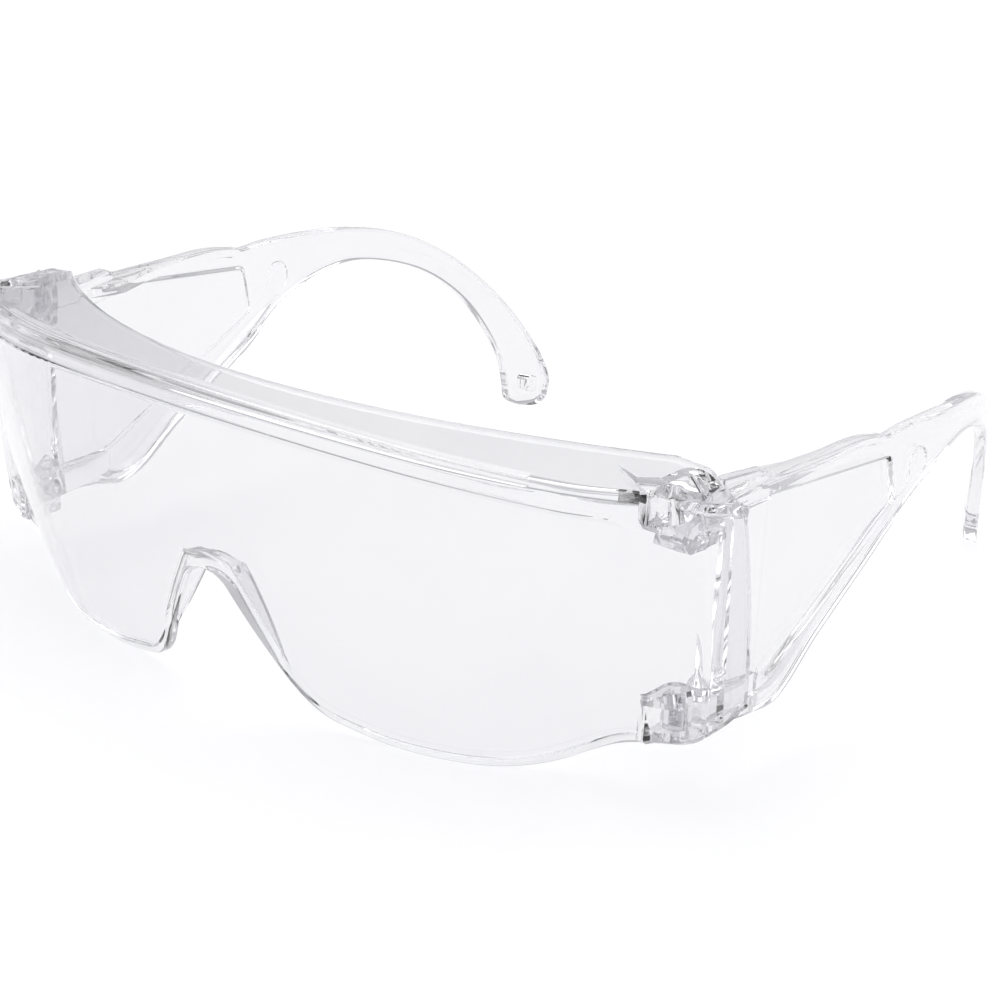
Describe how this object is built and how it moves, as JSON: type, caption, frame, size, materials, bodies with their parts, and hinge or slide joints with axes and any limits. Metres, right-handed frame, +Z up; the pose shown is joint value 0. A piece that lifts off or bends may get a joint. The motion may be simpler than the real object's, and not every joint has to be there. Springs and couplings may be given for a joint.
{
  "type": "safety glasses",
  "caption": "Clear wrap-round over-spectacles: one curved lens with brow ledge and nose flange, folding side-shield temples on pinned hinges.",
  "frame": {"origin": "middle of the footprint, on the surface that the glasses stand on", "axes": "+Z up, +Y towards the back of the head, +X towards the wearer's left ear"},
  "size_m": [0.1568, 0.1674, 0.0593],
  "materials": {
    "clear_front": "clear colourless polycarbonate, polished",
    "clear_temple": "clear colourless polycarbonate, gloss",
    "clear_pin": "clear plastic, gloss"
  },
  "bodies": {
    "front": {"lens_front": "clear_front", "left_upper_hinge_pin": "clear_pin", "left_lower_hinge_pin": "clear_pin", "right_upper_hinge_pin": "clear_pin", "right_lower_hinge_pin": "clear_pin"},
    "left_temple": {"left_temple": "clear_temple"},
    "right_temple": {"right_temple": "clear_temple"}
  },
  "joints": [
    {"name": "left_temple_fold", "type": "hinge", "parent": "front", "child": "left_temple", "pos_m": [0.0705, -0.04565, 0.026], "axis": [0, 0, 1], "range_deg": [0, 82]},
    {"name": "right_temple_fold", "type": "hinge", "parent": "front", "child": "right_temple", "pos_m": [-0.0705, -0.04565, 0.026], "axis": [0, 0, -1], "range_deg": [0, 72]}
  ]
}
